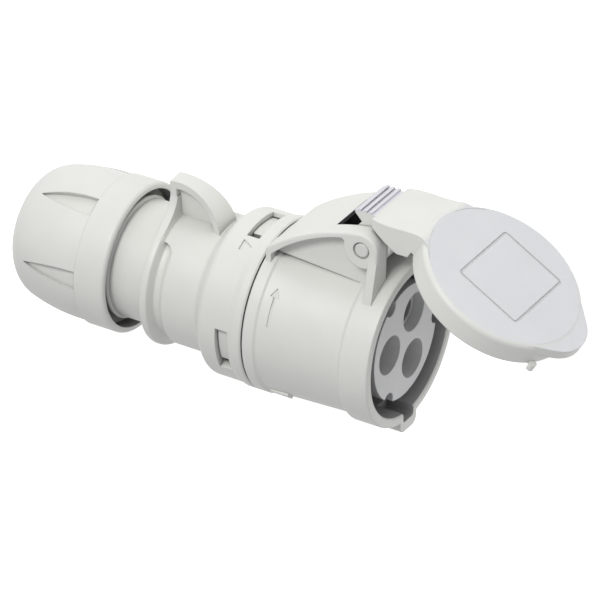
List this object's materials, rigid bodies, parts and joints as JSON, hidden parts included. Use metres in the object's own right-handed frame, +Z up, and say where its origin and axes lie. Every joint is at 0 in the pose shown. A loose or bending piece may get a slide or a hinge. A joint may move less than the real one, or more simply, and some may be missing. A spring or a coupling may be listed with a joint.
{
  "type": "industrial cable coupler",
  "caption": "Industrial cable coupler with hinged lid, shrouded contact insert, twist-locked rear housing with a hand stop, and a cable gland nut.",
  "frame": {"origin": "centre of the cable hole at the rear face of the gland nut", "axes": "+X along the coupler to its mouth; +Y to the lid's hinge; +Z up while the loose coupler lies on its side"},
  "size_m": [0.2052, 0.0821, 0.0586],
  "materials": {
    "housing_plastic": "satin, fine moulded grain",
    "lid_plastic": "satin, fine moulded grain",
    "pin_plastic": "smooth",
    "insert_plastic": "satin",
    "inner_plastic": "plain",
    "seal_rubber": "matt",
    "contact_brass": "turned",
    "steel": "zinc plated"
  },
  "bodies": {
    "front": {"front_housing": "housing_plastic", "housing_o_ring": "seal_rubber", "contact_insert": "insert_plastic", "terminal_block": "insert_plastic", "insert_retainer": "inner_plastic", "retainer_screws": "steel", "hinge_pin": "pin_plastic", "lid_spring": "steel", "contact_sleeve_lower": "contact_brass", "contact_sleeve_near": "contact_brass", "contact_spring_ring_lower": "steel", "contact_spring_ring_near": "steel", "terminal_screw_lower": "steel", "terminal_screw_near": "steel"},
    "rear": {"rear_housing": "housing_plastic", "gland_cage": "inner_plastic", "gland_seal": "seal_rubber"},
    "ring": {"pressure_ring": "inner_plastic"},
    "nut": {"gland_nut": "housing_plastic"},
    "lid": {"lid": "lid_plastic", "lid_seal": "seal_rubber"}
  },
  "joints": [
    {"name": "lid_hinge", "type": "hinge", "parent": "front", "child": "lid", "pos_m": [0.133, 0.0392, 0], "axis": [0, 0, 1], "range_deg": [-60, 50]},
    {"name": "twist_lock", "type": "hinge", "parent": "front", "child": "rear", "pos_m": [0.083, 0, 0], "axis": [1, 0, 0], "range_deg": [0, 30]},
    {"name": "nut_travel", "type": "slide", "parent": "rear", "child": "ring", "axis": [1, 0, 0], "range_m": [-0.00601, 0.00301]},
    {"name": "nut_turn", "type": "hinge", "parent": "ring", "child": "nut", "pos_m": [0.01, 0, 0], "axis": [1, 0, 0], "range_deg": [-720, 360]}
  ],
  "couplings": [
    {"joint": "nut_travel", "follows": "nut_turn", "m_per_rad": 0.00047746}
  ]
}
